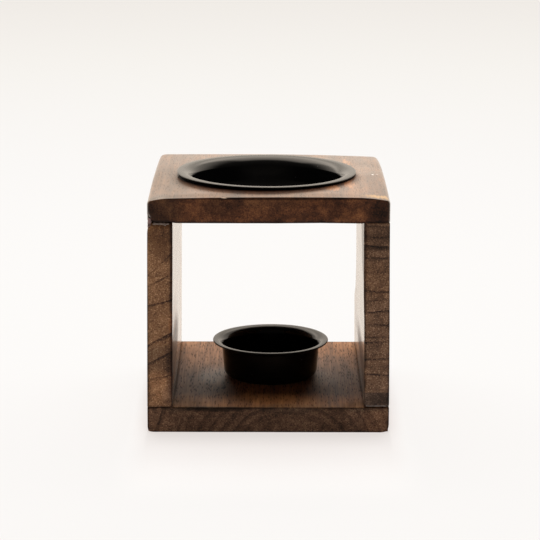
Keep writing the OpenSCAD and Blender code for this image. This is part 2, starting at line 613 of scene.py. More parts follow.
@dataclass(frozen=True)
class BlackSteel:
    """Satin black paint on a pressed steel pan."""

    name: str = "satin_black_steel"
    colour: Colour = (0.0022, 0.0021, 0.0021)
    dust: Colour = (0.05, 0.048, 0.045)
    roughness: float = 0.22
    drawn_roughness: float = 0.1
    coat: float = 1.56
    shine: float = 0.4
    gleam: float = 0.33
    gleam_turn: Pair = (0.2, 0.6)
    drawn_turn: Pair = (0.35, 0.8)
    uneven: float = 0.12
    peel: float = 0.02 * MM
    dust_scale: Point = (420, 420, 420)
    dust_size: Pair = (0.14, 0.06)
    dust_share: Pair = (0.92, 0.98)

    def material(self) -> bpy.types.Material:
        """Makes the paint, with a fine peel, marks and some dust, smoother where the punch drew it.

        Returns:
            The material.
        """
        material, sheet, place = new_finish(self.name)
        x, y, _ = sheet.split(place)
        across, along, up = sheet.split(place.sibling("Normal"))
        inwards = 0 - (x * across + y * along) / sheet.math("SQRT", x * x + y * y)
        drawn = inwards.fade(*self.drawn_turn) * (self.drawn_roughness - self.roughness)
        near, chance = sheet.cells(place, self.dust_scale, shift=2)
        speck = near.fade(*self.dust_size) * chance.fade(*self.dust_share)
        marks = MARKS.read(sheet, place)
        sheet.end(
            sheet.principled(
                Base_Color=sheet.mix(speck * 0.5, self.colour, self.dust),
                Roughness=(marks - 0.5) * self.uneven + speck * 0.3 + drawn + self.roughness,
                Specular_IOR_Level=self.shine,
                Coat_Weight=up.fade(*self.gleam_turn) * self.gleam,
                Coat_Roughness=self.roughness,
                Coat_IOR=self.coat,
                Normal=sheet.bump(PEEL.read(sheet, place), 0.25, self.peel),
            )
        )
        return material


@dataclass(frozen=True)
class Cloudy:
    """A finish of two colours that a noise blends, and roughens in the same places."""

    name: str
    first: Colour
    second: Colour
    cloud: Layer
    blend: Pair | None = None
    rough: float = 0.3
    uneven: float = 0.2
    metallic: float = 0.0
    relief: float = 0.0

    def material(self) -> bpy.types.Material:
        """Makes the finish, with a bump where it has relief.

        Returns:
            The material.
        """
        material, sheet, place = new_finish(self.name)
        cloud = self.cloud.read(sheet, place)
        share = cloud.fade(*self.blend) if self.blend else cloud
        values = {"Base_Color": sheet.mix(share, self.first, self.second), "Metallic": self.metallic}
        if self.relief:
            values["Normal"] = sheet.bump(cloud, 0.4, self.relief)
        sheet.end(sheet.principled(Roughness=cloud * self.uneven + self.rough, **values))
        return material


def dried_glue(name: str, pale: Colour, dirty: Colour) -> Cloudy:
    """Makes the finish of glue that was squeezed out of a joint, pale and dirty in places."""
    return Cloudy(name, pale, dirty, Layer((700, 700, 700)), (0.4, 0.65), uneven=0.3)


@dataclass(frozen=True)
class Dent:
    """A stretch of a board's surface that is worn away, from start to end.

    A way moves the surface along that direction, only where the surface faces it, in place of inwards.
    """

    start: Point
    end: Point
    reach: float
    depth: float
    ragged: float = 0.4
    way: Point | None = None


def add_mesh(
    name: str, points: Sequence, faces: Sequence, material: bpy.types.Material | None = None
) -> bpy.types.Object:
    """Adds a mesh to the scene, smooth shaded where it has a finish.

    Args:
        name: The object's name.
        points: Its points.
        faces: The points of each face.
        material: Its finish.

    Returns:
        The object.
    """
    mesh = bpy.data.meshes.new(name)
    mesh.from_pydata(points, [], faces)
    if material:
        mesh.shade_smooth()
        mesh.materials.append(material)
    made = bpy.data.objects.new(name, mesh)
    bpy.context.scene.collection.objects.link(made)
    return made


@dataclass
class Surface:
    """A mesh in the making: its points, their outward normals and its faces."""

    points: np.ndarray
    normals: np.ndarray
    faces: np.ndarray

    def sand(self, depth: float, seed: float) -> None:
        """Makes the surface slightly wavy, always inwards.

        Args:
            depth: The deepest hollow.
            seed: The start of the noise.
        """
        coarse, fine = 45, 170
        waves = [
            0.7 * noise.noise(Vector(p) * coarse + Vector((seed, 0, 0)))
            + 0.3 * noise.noise(Vector(p) * fine + Vector((0, seed, 0)))
            for p in self.points
        ]
        share = np.clip(0.5 + 0.6 * np.array(waves), 0, 1)
        self.points -= self.normals * (depth * share)[:, None]

    def knock(self, dents: Sequence[Dent]) -> None:
        """Presses dents into the surface.

        Args:
            dents: The dents, in order.
        """
        chip_scale = 900
        for dent in dents:
            start, end = np.array(dent.start), np.array(dent.end)
            along = end - start
            share = np.clip((self.points - start) @ along / max(along @ along, 1e-12), 0, 1)
            distance = np.linalg.norm(self.points - (start + share[:, None] * along), axis=1)
            for i in np.flatnonzero(distance < dent.reach):
                fall = (1 - (distance[i] / dent.reach) ** 2) ** 2
                rough = 1 + dent.ragged * noise.noise(Vector(self.points[i]) * chip_scale)
                if dent.way is None:
                    push = -self.normals[i]
                else:
                    push = np.array(dent.way) * max(0.0, float(self.normals[i] @ np.array(dent.way)))
                self.points[i] += push * (dent.depth * fall * rough)


def grid_lines(half: float, radius: float, spacing: float, arc_steps: int = 3) -> np.ndarray:
    """Places the grid lines across one side of a block with rounded edges.

    Args:
        half: Half the side.
        radius: The radius of the edges.
        spacing: The distance between lines on the flat.
        arc_steps: The lines on half of each rounded edge.

    Returns:
        The places from one end to the other.
    """
    inner = half - radius
    bend = inner + radius * np.tan(np.linspace(0, math.pi / 4, arc_steps + 1)[1:])
    steps = max(2, round(2 * inner / spacing))
    return np.concatenate([-bend[::-1], np.linspace(-inner, inner, steps + 1), bend])


def rounded_block(box: Box, radius: float, spacing: float) -> Surface:
    """Makes a block with rounded edges from a fine grid.

    Args:
        box: The block's box.
        radius: The radius of all edges.
        spacing: The grid's spacing.

    Returns:
        The block's surface.
    """
    half = np.array(box.half)
    lines = [grid_lines(h, radius, spacing) for h in half]
    counts = [len(line) for line in lines]
    index = np.stack(np.meshgrid(*[np.arange(n) for n in counts], indexing="ij"), -1)
    outer = ((index == 0) | (index == np.array(counts) - 1)).any(-1)
    ids = np.full(counts, -1)
    ids[outer] = np.arange(outer.sum())
    grid = np.stack(np.meshgrid(*lines, indexing="ij"), -1)[outer]
    inside = np.clip(grid, -(half - radius), half - radius)
    offset = grid - inside
    normals = offset / np.linalg.norm(offset, axis=1)[:, None]
    faces = []
    for axis in range(3):
        for end in (0, -1):
            side = np.take(ids, end, axis=axis)
            quads = np.stack([side[:-1, :-1], side[1:, :-1], side[1:, 1:], side[:-1, 1:]], -1).reshape(-1, 4)
            outwards = (end == -1) != (axis == 1)
            faces.append(quads if outwards else quads[:, ::-1])
    return Surface(np.array(box.middle) + inside + normals * radius, normals, np.concatenate(faces))


def swept_ring(sections: np.ndarray) -> Surface:
    """Joins a closed row of closed sections into one surface.

    Args:
        sections: Points by section, in turn to the left, then round each section, up at its inner side.

    Returns:
        The surface, with its normals from its own neighbours.
    """
    along = np.roll(sections, -1, 0) - np.roll(sections, 1, 0)
    around = np.roll(sections, -1, 1) - np.roll(sections, 1, 1)
    normals = np.cross(around, along).reshape(-1, 3)
    normals /= np.maximum(np.linalg.norm(normals, axis=1), 1e-15)[:, None]
    ids = np.arange(len(normals)).reshape(sections.shape[:2])
    next_section, next_point = np.roll(ids, -1, 0), np.roll(ids, -1, 1)
    both = np.roll(next_section, -1, 1)
    faces = np.stack([ids, next_point, both, next_section], -1).reshape(-1, 4)
    return Surface(sections.reshape(-1, 3).copy(), normals, faces)


def arc(centre: Pair, radius: float, start: float, end: float, steps: int) -> Curve:
    """Walks along an arc from one angle to another, with a point at both ends and after each step."""
    angles = np.linspace(start, end, steps + 1)
    return [(centre[0] + radius * math.cos(a), centre[1] + radius * math.sin(a)) for a in angles]


def turned(profile: Curve, turns: int) -> np.ndarray:
    """Turns a half section about an axis.

    Args:
        profile: Radius and height of each point.
        turns: How often it is drawn round the axis.

    Returns:
        The points by turn, then along the half section.
    """
    radius, height = np.array(profile).T
    angle = np.linspace(0, 2 * math.pi, turns, endpoint=False)[:, None]
    return np.stack([radius * np.cos(angle), radius * np.sin(angle), height + 0 * angle], -1)


def closed_skin(first: Sequence, last: Sequence, rows: np.ndarray) -> tuple[list, list]:
    """Joins turned half sections and the poles at their ends into a closed skin.

    Args:
        first: The pole before each row.
        last: The pole after each row.
        rows: The points by turn, then along the half section.

    Returns:
        The points, poles first, and the faces, which face outwards where the first pole is the upper one.
    """
    turns, count = rows.shape[:2]
    faces: list[tuple[int, ...]] = []
    for turn in range(turns):
        here, there = 2 + turn * count, 2 + (turn + 1) % turns * count
        faces += [(0, here, there), (1, there + count - 1, here + count - 1)]
        faces += [(here + i, here + i + 1, there + i + 1, there + i) for i in range(count - 1)]
    return np.vstack((first, last, rows.reshape(-1, 3))).tolist(), faces


@dataclass(frozen=True)
class SquareBoard:
    """A plain board of the frame, with worn edges, that leans by its foot and its head."""

    node: str
    wood: Wood
    slot: str
    edge: float = 0.4 * MM
    spacing: float = 1.0 * MM
    wave: float = 0.07 * MM
    lean: Pair = (0.0, 0.0)
    dents: tuple[Dent, ...] = ()

    def build(self) -> bpy.types.Object:
        """Makes the board in the place of its node.

        Returns:
            The board.
        """
        box = Box.of(self.node)
        surface = rounded_block(box, self.edge, self.spacing)
        self.bend(surface, box)
        return self.dress(surface, box)

    def bend(self, surface: Surface, box: Box) -> None:
        """Leans the board's surface in its box."""
        share = (surface.points[:, 2] - box.low.z) / (box.high.z - box.low.z)
        surface.points[:, 0] += self.lean[0] * (1 - share) + self.lean[1] * share

    def dress(self, surface: Surface, box: Box) -> bpy.types.Object:
        """Sands and knocks the board's surface and gives it its wood.

        Args:
            surface: The surface as it was sawn.
            box: The board's box.

        Returns:
            The board.
        """
        surface.sand(self.wave, self.wood.seed)
        surface.knock(self.dents)
        points, faces = surface.points.tolist(), surface.faces.tolist()
        return add_mesh(f"{self.node}_wood", points, faces, self.wood.material(box))

    def mount(self) -> None:
        """Builds the board and puts it on the frame."""
        board = self.build()
        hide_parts(self.node)
        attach(board, "frame")
        LOG.info("%s: %d faces", board.name, len(board.data.polygons))


@dataclass(frozen=True)
class BaseBoard(SquareBoard):
    """The base board, with countersunk holes for the screws in its underside."""

    screw_nodes: tuple[str, ...] = ("base_left_screws", "base_right_screws")
    mouth_radius: float = 2.95 * MM
    shank_radius: float = 1.55 * MM
    sink: float = 0.3 * MM
    cone: float = 1.4 * MM
    hole_depth: float = 8 * MM
    sides: int = 48
    rise: float = 0.5 * MM
    rise_start: float = 24 * MM
    rise_half: float = 40.5 * MM

    def bend(self, surface: Surface, box: Box) -> None:
        """Lifts the board's upper face a little at the back, between the side boards.

        Args:
            surface: The board's surface.
            box: The board's box.
        """
        x, y, z = surface.points.T
        share = np.clip((y - self.rise_start) / (box.high.y - self.rise_start), 0, 1)
        upper = (abs(x) < self.rise_half) & (z > box.middle.z)
        surface.points[:, 2] += self.rise * share**2 * (3 - 2 * share) * upper

    def build(self) -> bpy.types.Object:
        """Makes the board and cuts its screw holes.

        Returns:
            The board.
        """
        board = super().build()
        cutter = self._cutter()
        cut = board.modifiers.new("screw_holes", "BOOLEAN")
        cut.operation, cut.solver, cut.object = "DIFFERENCE", "EXACT", cutter
        graph = bpy.context.evaluated_depsgraph_get()
        mesh = bpy.data.meshes.new_from_object(board.evaluated_get(graph))
        board.modifiers.clear()
        board.data = mesh
        bpy.data.objects.remove(cutter)
        return board

    def _cutter(self) -> bpy.types.Object:
        """Makes one mesh of all the holes.

        Returns:
            An object that is taken away once the holes are cut.
        """
        wide, narrow, neck = self.mouth_radius, self.shank_radius, self.sink + self.cone
        profile = [(wide, -MM), (wide, self.sink), (narrow, neck), (narrow, self.hole_depth)]
        rings = turned(profile, self.sides).swapaxes(0, 1)
        ids = np.arange(len(profile) * self.sides).reshape(-1, self.sides)
        ahead = np.roll(ids, -1, 1)
        wall = np.stack([ids[:-1], ahead[:-1], ahead[1:], ids[1:]], -1).reshape(-1, 4)
        skin = [*wall.tolist(), ids[0, ::-1].tolist(), ids[-1].tolist()]
        points, faces = [], []
        for box in map(Box.of, self.screw_nodes):
            reach = (box.high.x - box.low.x) / 2
            for y in (box.low.y + reach, box.high.y - reach):
                faces += [[len(points) + i for i in face] for face in skin]
                points += (rings.reshape(-1, 3) + (box.low.x + reach, y, 0.0)).tolist()
        return add_mesh("screw_hole_cutter", points, faces)


@dataclass(frozen=True)
class TopBoard(SquareBoard):
    """The top board, crowned across its width, with a round hole for the bowl."""

    hole_radius: float = 33.6 * MM
    hole_edge: float = 0.25 * MM
    crown_fall: float = 0.55 * MM
    slant: float = 0.27 * MM
    slant_pivot: float = 0.3
    front_radius: float = 0.3 * MM
    end_radius: float = 2.0 * MM
    back_radius: float = 2.6 * MM
    under_radius: float = 0.25 * MM
    front_corner: float = 2.2 * MM
    back_corner: float = 4.0 * MM
    back_taper: float = 0.9 * MM
    back_fall: float = 1.2 * MM
    worn_corner: float = 1.3 * MM
    worn_start: float = -0.2
    belly: float = 0.4 * MM
    belly_reach: Pair = (38.7 * MM, 39.3 * MM)
    belly_rise: Pair = (21 * MM, 18 * MM)
    belly_loss: float = 0.55
    left_wear: Pair = (1.2 * MM, 9 * MM)
    right_wear: Pair = (1.3 * MM, 14 * MM)
    outline_step: float = 1.2 * MM
    corner_steps: int = 8
    hole_steps: int = 6
    lip_steps: int = 3
    face_steps: int = 27
    edge_steps: int = 6
    side_steps: int = 7
    sole_steps: int = 24

    def build(self) -> bpy.types.Object:
        """Makes the board as a ring of sections round its hole.

        Returns:
            The board.
        """
        box = Box.of(self.node)
        hole = np.array(Box.of("oil_bowl").middle.xy)
        sections = [self._section(edge, outward, box, hole) for edge, outward in self._outline(box)]
        return self.dress(swept_ring(np.array(sections)), box)

    def _outline(self, box: Box) -> list[tuple[np.ndarray, np.ndarray]]:
        """Walks round the board's plan, with rounded corners.

        Args:
            box: The board's box.

        Returns:
            The points of the plan, each with its outward direction.
        """
        low, high = box.low, box.high
        corners = (
            (high.x, low.y, self.front_corner, -90),
            (high.x, high.y, self.back_corner, 0),
            (low.x, high.y, self.back_corner, 90),
            (low.x, low.y, self.front_corner, 180),
        )
        bends = []
        for x, y, radius, first in corners:
            centre = np.array((x - math.copysign(radius, x), y - math.copysign(radius, y)))
            start, end = math.radians(first), math.radians(first + 90)
            ways = np.array(arc((0, 0), 1, start, end, self.corner_steps))
            bends += [(centre + radius * way, way) for way in ways]
        plan = []
        for (bend, way), (after, _) in zip(bends, bends[1:] + bends[:1]):
            steps = max(1, round(np.linalg.norm(after - bend) / self.outline_step))
            for i in range(steps):
                spot = bend + (after - bend) * i / steps
                back = np.clip((spot[1] - low.y) / (high.y - low.y), 0, 1)
                spot[0] -= np.sign(spot[0]) * self.back_taper * back**3
                plan.append((spot, way))
        return plan

    def _section(self, edge: np.ndarray, outward: np.ndarray, box: Box, hole: np.ndarray) -> np.ndarray:
        """Draws the board's section from its hole to one point of its outline.

        Args:
            edge: The point of the outline.
            outward: The outline's outward direction there.
            box: The board's box.
            hole: The middle of the hole.

        Returns:
            The section's points, closed, from the foot of the hole up, out, down and back.
        """
        way = (edge - hole) / np.linalg.norm(edge - hole)
        inner = hole + way * self.hole_radius
        rim = inner + way * self.hole_edge
        radius, under, lip = self._upper_radius(outward), self.under_radius, self.hole_edge
        shelf, sole = edge - outward * radius, edge - outward * under
        hem, rise = self._sole(inner, box), self._top(rim, box) - lip
        crest, foot = self._top(shelf, box) - radius, self._sole(sole, box) + under
        quarter = math.pi / 2
        wall = np.linspace(hem, rise, self.hole_steps + 1)[:-1]
        face = np.linspace(rim, shelf, self.face_steps + 1)[1:]
        side = np.linspace(crest, foot, self.side_steps + 1)[1:]
        underside = np.linspace(sole, inner, self.sole_steps + 1)[1:-1]
        points = [(*inner, z) for z in wall]
        points += self._laid(rim, way, arc((0, rise), lip, math.pi, quarter, self.lip_steps))
        points += [(*spot, self._top(spot, box)) for spot in face]
        points += self._laid(shelf, outward, arc((0, crest), radius, quarter, 0, self.edge_steps)[1:])
        points += [(*edge, z) for z in side]
        points += self._laid(sole, outward, arc((0, foot), under, 0, -quarter, self.lip_steps)[1:])
        points += [(*spot, self._sole(spot, box)) for spot in underside]
        return np.array(points)

    @staticmethod
    def _laid(start: np.ndarray, way: np.ndarray, curve: Curve) -> list[tuple[float, ...]]:
        """Lays a flat curve into the board, out along a way from its start."""
        return [(*(start + way * out), up) for out, up in curve]

    def _upper_radius(self, outward: np.ndarray) -> float:
        """Blends the radius of the upper edge from the front round the ends to the back.

        Args:
            outward: The outline's outward direction.

        Returns:
            The radius there.
        """
        side = outward[0] ** 2
        face = self.back_radius if outward[1] > 0 else self.front_radius
        return side * self.end_radius + (1 - side) * face

    def _top(self, spot: np.ndarray, box: Box) -> float:
        """Finds the height of the upper face, crowned at its front, with worn corners and a back that falls.

        Args:
            spot: The place in plan.
            box: The board's box.

        Returns:
            The height.
        """
        half = box.half
        across, along = spot[0] / half.x, spot[1] / half.y
        right = np.clip((across - self.worn_start) / (1 - self.worn_start), 0, 1)
        back, front = np.clip(along, 0, 1), np.clip(-along, 0, 1)
        front_fall = self.crown_fall * across**2 - self.slant * (across - self.slant_pivot)
        for (depth, reach), end in ((self.left_wear, -spot[0]), (self.right_wear, spot[0])):
            front_fall += depth * (front * np.clip(1 - (half.x - end) / reach, 0, 1)) ** 2
        back_fall = self.back_fall + self.worn_corner * right**2
        return box.high.z - front_fall - (back_fall - front_fall) * back**3

    def _sole(self, spot: np.ndarray, box: Box) -> float:
        """Finds the height of the underside, which bellies out between the side boards.

        Args:
            spot: The place in plan.
            box: The board's box.

        Returns:
            The height.
        """
        start, end = self.belly_reach
        centre, reach = self.belly_rise
        depth = self.belly * (1 - self.belly_loss * np.clip(1 - abs(spot[0] - centre) / reach, 0, 1))
        return box.low.z - depth * np.clip((end - abs(spot[0])) / (end - start), 0, 1)


@dataclass(frozen=True)
class GlueBead:
    """A thread of dried glue along a joint, lumpy along its length."""

    name: str
    glue: Cloudy
    start: Point
    end: Point
    radius: float
    lump: float = 0.5
    seed: float = 0.0
    lump_gap: float = 1.4 * MM
    flat: float = 0.7
    blunt: float = 4.0
    spacing: float = 0.3 * MM
    least_steps: int = 8
    sides: int = 10

    def mount(self) -> None:
        """Makes the bead and puts it on the frame."""
        start, end = np.array(self.start), np.array(self.end)
        length = np.linalg.norm(end - start)
        along = (end - start) / length
        side = np.cross(along, (0.0, 1.0, 0.0))
        depth = np.cross(side, along)
        profile = []
        steps = max(self.least_steps, round(length / self.spacing))
        for share in np.linspace(0, 1, steps + 1)[1:-1]:
            swell = 1 + self.lump * noise.noise(Vector((share * length / self.lump_gap, self.seed, 0)))
            taper = min(1.0, self.blunt * math.sqrt(share * (1 - share)))
            profile.append((self.radius * swell * taper, share * length))
        rows = start + turned(profile, self.sides) @ np.array((side, self.flat * depth, along))
        bead = add_mesh(self.name, *closed_skin(start, end, rows), self.glue.material())
        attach(bead, "frame")
        LOG.info("%s: %d faces", bead.name, len(bead.data.polygons))


@dataclass(frozen=True)
class PressedPan:
    """A pan pressed from steel sheet, with a flange that flares into a wall, narrower towards its floor."""

    node: str
    body: str
    paint: BlackSteel
    wall_radius: float
    draft: float
    shoulder: float
    foot: float
    flare: float
    corner: float
    slope: float
    fall: float = 0.0
    lean: float = 0.0
    sheet: float = 0.7 * MM
    wobble: float = 0.12 * MM
    wobble_phase: float = 0.6
    wobble_power: int = 6
    turns: int = 160
    floor_steps: int = 8
    foot_steps: int = 10
    bend_steps: int = 8
    corner_steps: int = 6
    sole_steps: int = 4

    def profile(self, flange: float, height: float) -> Curve:
        """Draws the pan's half section from the middle of its floor, inside and then outside.

        Args:
            flange: The flange's radius.
            height: The pan's height.

        Returns:
            Radius and height of each point, with the outside of the floor at height 0.
        """
        draft = math.radians(self.draft)
        seat, slant, stretch = height - self.sheet, math.tan(draft), 1 / math.cos(draft)
        foot = self.wall_radius - (seat - self.foot) * slant - self.foot * stretch, self.foot
        shoulder = self.wall_radius + self.shoulder * (stretch - slant), seat - self.shoulder
        down, wall, up = -math.pi / 2, -draft, math.pi / 2
        inside = [(foot[0] * i / self.floor_steps, self.sheet) for i in range(self.floor_steps)]
        inside += arc(foot, self.foot - self.sheet, down, wall, self.foot_steps)
        inside += self._lip(height, draft)
        lip_radius = self.sheet / 2
        lip = arc((flange - lip_radius, height - lip_radius), lip_radius, up, down, self.bend_steps)
        outside = arc(shoulder, self.shoulder, up, math.pi - draft, self.bend_steps)
        outside += arc(foot, self.foot, wall, down, self.bend_steps)
        outside += [(foot[0] * i / self.sole_steps, 0.0) for i in reversed(range(self.sole_steps))]
        return inside + lip + outside

    def _lip(self, height: float, draft: float) -> Curve:
        """Draws the inside of the mouth: a corner over the wall, then a wider flare to the flange.

        Args:
            height: The height of the flange's upper face.
            draft: The wall's draft in radians.

        Returns:
            Radius and height of each point, from the wall up.
        """
        slope, up = math.radians(self.slope), math.pi / 2
        turn = up - draft
        fall = self.flare * (1 - math.cos(slope))
        drop = fall + self.corner * (math.cos(slope) - math.cos(turn))
        wall = self.wall_radius - self.sheet / math.cos(draft) - (drop - self.sheet) * math.tan(draft)
        bend = wall + self.corner * (math.sin(turn) - math.sin(slope))
        tight = bend + self.corner * math.sin(slope), height - fall - self.corner * math.cos(slope)
        wide = bend + self.flare * math.sin(slope), height - self.flare
        corner = arc(tight, self.corner, up + turn, up + slope, self.corner_steps)
        return corner + arc(wide, self.flare, up + slope, up, self.bend_steps)[1:]

    def mount(self) -> None:
        """Spins the pan, a little tilted and wavy at its rim, and puts it on its body."""
        box = Box.of(self.node)
        flange = box.half.x
        profile = self.profile(flange, box.high.z - box.low.z)
        rows = turned(profile[1:-1], self.turns)
        x, y, _ = np.moveaxis(rows, -1, 0)
        angle = np.arctan2(y, x)
        wave = (np.sin(2 * angle + self.wobble_phase) + 0.5 * np.sin(3 * angle)) / 1.5
        rows[..., 2] += self.wobble * (np.hypot(x, y) / flange) ** self.wobble_power * np.minimum(wave, 0.0)
        rows[..., 2] -= self.fall * (1 + y / flange) / 2 + self.lean * (1 + x / flange) / 2
        foot = np.array((box.middle.x, box.middle.y, box.low.z))
        poles = [foot + (0, 0, end[1] - (self.fall + self.lean) / 2) for end in (profile[0], profile[-1])]
        skin = closed_skin(*poles, foot + rows)
        pan = add_mesh(f"{self.node}_steel", *skin, self.paint.material())
        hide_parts(self.node)
        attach(pan, self.body)
        LOG.info("%s: %d faces", pan.name, len(pan.data.polygons))


@dataclass(frozen=True)
class Lamp:
    """A soft lamp over the object, with its size across and along, which shiny surfaces don't show."""

    name: str
    place: Point
    size: Pair
    power: float
    aim: Point = (0.0, 0.0, 0.08)

    def hang(self) -> None:
        """Adds the lamp to the scene."""
        light = bpy.data.lights.new(self.name, "AREA")
        light.shape, light.energy = "RECTANGLE", self.power
        light.size, light.size_y = self.size
        lamp = bpy.data.objects.new(self.name, light)
        lamp.location = self.place
        lamp.visible_glossy = False
        lamp.rotation_euler = (Vector(self.aim) - Vector(self.place)).to_track_quat("-Z", "Y").to_euler()
        bpy.context.scene.collection.objects.link(lamp)


@dataclass(frozen=True)
class PaintedPool:
    """Painted light and shade in the floor's glow round the object's foot, so its shadow fades softly."""

    front: float = 51.5 * MM
    end: float = 50.2 * MM
    sharp: float = 0.2 * MM
    shade: float = 0.05
    reach: float = 24 * MM
    light: float = 0.075
    light_end: Pair = (95 * MM, 45 * MM)
    inset: float = 6 * MM
    spill: float = 14 * MM
    rim: float = 0.05
    rim_start: float = 1 * MM
    rim_end: Pair = (9 * MM, 3 * MM)
    rim_back: Pair = (-50 * MM, -20 * MM)
    rim_front: Pair = (30 * MM, 5 * MM)

    def glow(self, back: Wire, side: Wire) -> Wire:
        """Finds the painted light and shade that is added to the floor's glow.

        Args:
            back: The place on the floor from front to back.
            side: The distance from the middle, to either side.

        Returns:
            The added strength: painted light, and painted shade below 0 right in front of the object.
        """
        ahead, beside = 0.0 - self.front - back, side - self.end
        inner = self.end - self.inset
        shade = ahead.fade(-self.sharp, self.sharp) * ahead.fade(self.reach, 0.0) * side.fade(self.end, inner)
        light = ahead.fade(0.0, self.reach) * ahead.fade(*self.light_end)
        light = light * side.fade(self.end + self.spill, inner)
        rim = beside.fade(0.0, self.rim_start) * beside.fade(*self.rim_end)
        rim = rim * ahead.fade(*self.rim_back) * ahead.fade(*self.rim_front)
        return light * self.light - shade * self.shade + rim * self.rim


@dataclass(frozen=True)
class Stage:
    """The pale floor with painted light and shade at the object's foot, the light round it and the camera."""

    floor_size: float = 14.0
    near: Colour = (0.689, 0.622, 0.592)
    far: Colour = (0.707, 0.643, 0.594)
    far_fade: Pair = (0.4, 1.1)
    mirrored: Colour = (0.82, 0.73, 0.65)
    mirrored_fade: Pair = (0.1, -0.3)
    floor_diffuse: Colour = (0.14, 0.164, 0.17)
    mirrored_diffuse: Colour = (0.14, 0.13, 0.115)
    floor_bounce: Colour = (0.7, 0.7, 0.7)
    painted_pool: PaintedPool = PaintedPool()
    room: Colour = screen_colour(253, 251, 249)
    warm: Colour = (1.0, 0.89, 0.76)
    front_light: float = 0.1
    back_light: float = 1.9
    light_fade: Pair = (-0.1, 0.6)
    front_gloss: float = 0.05
    gloss_fade: Pair = (-0.2, 0.55)
    overhead_gloss: float = 1.9
    overhead_front: Pair = (-0.3, 0.0)
    overhead_back: Pair = (0.88, 0.68)
    overhead_side: Pair = (0.6, 0.4)
    overhead_shift: float = 0.1
    lamps: tuple[Lamp, ...] = (
        Lamp("key_softbox", (0.0, 0.42, 1.5), (0.12, 0.9), 22.0),
        Lamp("fill_softbox", (0.0, -0.2, 1.4), (0.12, 0.4), 11.5),
    )
    camera_place: Point = mm(0.6, -972.3, 289.7)
    camera_pitch: float = 13.45
    camera_roll: float = 0.14
    lens: float = 154.3

    def set(self) -> None:
        """Sets the floor, the world, the lamps and the camera."""
        bpy.context.scene.view_settings.view_transform = "Standard"
        self._floor()
        self._world()
        self._camera()
        for lamp in self.lamps:
            lamp.hang()

    def _floor(self) -> None:
        """Lays the floor, which is bright to the eye and keeps the object's shadow."""
        material, sheet, place = new_finish("pale_floor")
        x, back, _ = sheet.split(place)
        camera, glossy, through = sheet.rays()
        tint = sheet.mix(glossy, sheet.mix(back.fade(*self.far_fade), self.near, self.far), self.mirrored)
        dim = glossy * back.fade(*self.mirrored_fade) * (1 - self.front_gloss)
        # The glow that the eye sees gets painted light and shade round the object's foot.
        strength = 1 - dim + self.painted_pool.glow(back, abs(x)) * (1 - glossy)
        wash = sheet.mix(glossy, self.floor_diffuse, self.mirrored_diffuse)
        lit = sheet.node("ShaderNodeBsdfDiffuse", None, {"Color": wash})
        glow = sheet.node("ShaderNodeEmission", None, {"Color": tint, "Strength": strength})
        bright = sheet.node("ShaderNodeAddShader", None, [lit, glow])
        bounce = sheet.node("ShaderNodeBsdfDiffuse", None, {"Color": self.floor_bounce})
        seen = sheet.math("MAXIMUM", camera, sheet.math("MAXIMUM", glossy, through))
        sheet.end(sheet.node("ShaderNodeMixShader", None, [seen, bounce, bright]))
        half = self.floor_size / 2
        corners = [(-half, -half, 0), (half, -half, 0), (half, half, 0), (-half, half, 0)]
        add_mesh("floor", corners, [(0, 1, 2, 3)], material)

    def _world(self) -> None:
        """Sets the light of a pale room that is brighter at the back."""
        world = bpy.data.worlds.new("pale_room")
        sheet = Sheet(world)
        x, back, _ = sheet.split(sheet.node("ShaderNodeTexCoord", output="Generated"))
        camera, glossy, through = sheet.rays()
        overhead = back.fade(*self.overhead_front) * back.fade(*self.overhead_back)
        overhead = overhead * abs(x + self.overhead_shift).fade(*self.overhead_side)
        light = back.fade(*self.light_fade) * (self.back_light - self.front_light) + self.front_light
        gloss = back.fade(*self.gloss_fade) * (1 - self.front_gloss) + self.front_gloss
        gloss = gloss + overhead * self.overhead_gloss
        strength = glossy * (gloss - light) + light
        strength = sheet.math("MAXIMUM", camera, through) * (1 - strength) + strength
        inputs = {"Color": sheet.mix(glossy, self.room, self.warm), "Strength": strength}
        sheet.end(sheet.node("ShaderNodeBackground", None, inputs), "ShaderNodeOutputWorld")
        bpy.context.scene.world = world

    def _camera(self) -> None:
        """Puts the camera where the photograph was taken from."""
        data = bpy.data.cameras.new("camera")
        data.lens = self.lens
        camera = bpy.data.objects.new("camera", data)
        tilt = Matrix.Rotation(math.radians(90 - self.camera_pitch), 4, "X")
        roll = Matrix.Rotation(math.radians(self.camera_roll), 4, "Z")
        camera.matrix_world = Matrix.Translation(self.camera_place) @ tilt @ roll
        bpy.context.scene.collection.objects.link(camera)
        bpy.context.scene.camera = camera


def stain(*tones: tuple[int, int, int]) -> Stain:
    """Makes a stain from its dark, middle and light colour on a screen."""
    return Stain(*(screen_colour(*tone) for tone in tones))


def grain(*lines: tuple[float, float, float, float]) -> tuple[GrainLine, ...]:
    """Makes growth lines from height, tilt, width and depth, in millimetres and degrees."""
    return tuple(GrainLine(height * MM, tilt, width * MM, depth) for height, tilt, width, depth in lines)


def tinted(centre: Point, reach: Point, tint: Colour, **more: float) -> Patch:
    """Makes a tinted patch from millimetres, for stain and wear and for painted light and shade."""
    return Patch(mm(*centre), mm(*reach), tint, **more)


def painted(centre: Point, reach: Point, tint: Colour, **more: float) -> Patch:
    """Makes a patch that is painted over, from millimetres."""
    return Patch(mm(*centre), mm(*reach), tint, cover=Cover.PAINT, **more)


def dented(start: Point, end: Point, reach: float, depth: float, **more: float | Point) -> Dent:
    """Makes a dent from millimetres."""
    return Dent(mm(*start), mm(*end), reach * MM, depth * MM, **more)


WORN_TAN = screen_colour(164, 116, 82)
WORN_EDGE = screen_colour(164, 128, 86)
# Painted highlights: tiny glints painted pale on the top board.
PAINTED_GLINT = screen_colour(214, 203, 194)
CHIPPED = screen_colour(196, 170, 148)
JOINT_SHADE = (0.5, 0.5, 0.5)
LEFT, RIGHT = (-1.0, 0.0, 0.0), (1.0, 0.0, 0.0)

